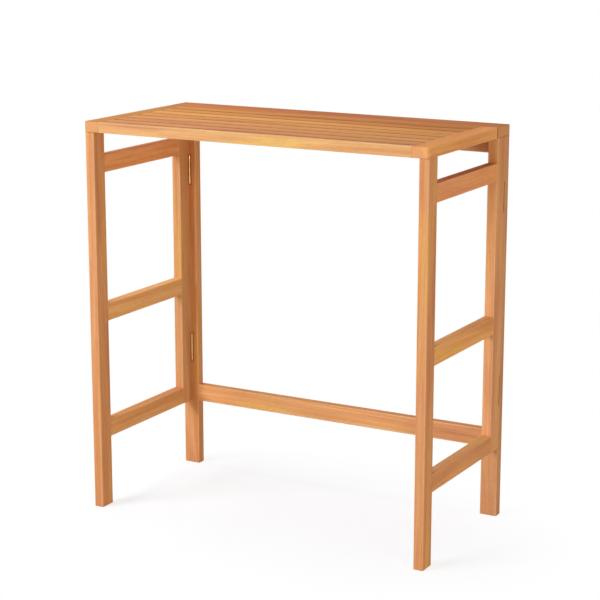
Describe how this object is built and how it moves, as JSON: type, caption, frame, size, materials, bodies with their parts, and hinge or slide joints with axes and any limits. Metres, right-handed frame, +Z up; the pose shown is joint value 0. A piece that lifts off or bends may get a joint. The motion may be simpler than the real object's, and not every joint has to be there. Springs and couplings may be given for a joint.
{
  "type": "folding pub table",
  "caption": "Bar-height wooden table with a slatted top, a fixed rear frame and ladder-shaped side gates that fold in on brass butt hinges.",
  "frame": {"origin": "on the floor under the middle of the table", "axes": "+X to the right along the width, +Y from the open front to the rear frame, +Z up"},
  "size_m": [0.977, 0.4792, 1.04],
  "materials": {
    "oiled_hardwood": "satin oil",
    "brass": "satin"
  },
  "bodies": {
    "back_frame": {"board_leaf_screws": "brass", "left_lower_hinge_leg_leaf": "brass", "left_lower_hinge_pin": "brass", "left_top_hinge_board_leaf": "brass", "left_top_hinge_pin": "brass", "left_upper_hinge_leg_leaf": "brass", "left_upper_hinge_pin": "brass", "leg_leaf_screws": "brass", "rear_board": "oiled_hardwood", "rear_left_leg": "oiled_hardwood", "rear_right_leg": "oiled_hardwood", "rear_stretcher": "oiled_hardwood", "right_lower_hinge_leg_leaf": "brass", "right_lower_hinge_pin": "brass", "right_top_hinge_board_leaf": "brass", "right_top_hinge_pin": "brass", "right_upper_hinge_leg_leaf": "brass", "right_upper_hinge_pin": "brass", "upper_rear_rail": "oiled_hardwood"},
    "left_gate": {"left_bottom_rail": "oiled_hardwood", "left_front_leg": "oiled_hardwood", "left_lower_hinge_stile_leaf": "brass", "left_middle_rail": "oiled_hardwood", "left_rear_stile": "oiled_hardwood", "left_stile_leaf_screws": "brass", "left_top_rail": "oiled_hardwood", "left_upper_hinge_stile_leaf": "brass"},
    "right_gate": {"right_bottom_rail": "oiled_hardwood", "right_front_leg": "oiled_hardwood", "right_lower_hinge_stile_leaf": "brass", "right_middle_rail": "oiled_hardwood", "right_rear_stile": "oiled_hardwood", "right_stile_leaf_screws": "brass", "right_top_rail": "oiled_hardwood", "right_upper_hinge_stile_leaf": "brass"},
    "slatted_top": {"batten_screws": "brass", "left_top_hinge_top_leaf": "brass", "right_top_hinge_top_leaf": "brass", "top_batten": "oiled_hardwood", "top_front_rail": "oiled_hardwood", "top_leaf_screws": "brass", "top_left_end_rail": "oiled_hardwood", "top_rear_rail": "oiled_hardwood", "top_right_end_rail": "oiled_hardwood", "top_slat_1": "oiled_hardwood", "top_slat_2": "oiled_hardwood", "top_slat_3": "oiled_hardwood", "top_slat_4": "oiled_hardwood", "top_slat_5": "oiled_hardwood", "top_slat_6": "oiled_hardwood"}
  },
  "joints": [
    {"name": "left_gate_fold", "type": "hinge", "parent": "back_frame", "child": "left_gate", "pos_m": [-0.4605, 0.2134, 0.6], "axis": [0, 0, 1], "range_deg": [0, 90]},
    {"name": "right_gate_fold", "type": "hinge", "parent": "back_frame", "child": "right_gate", "pos_m": [0.4605, 0.2134, 0.6], "axis": [0, 0, -1], "range_deg": [0, 90]},
    {"name": "top_lift", "type": "hinge", "parent": "back_frame", "child": "slatted_top", "pos_m": [0, 0.1657, 1.0092], "axis": [-1, 0, 0], "range_deg": [0, 3]}
  ]
}
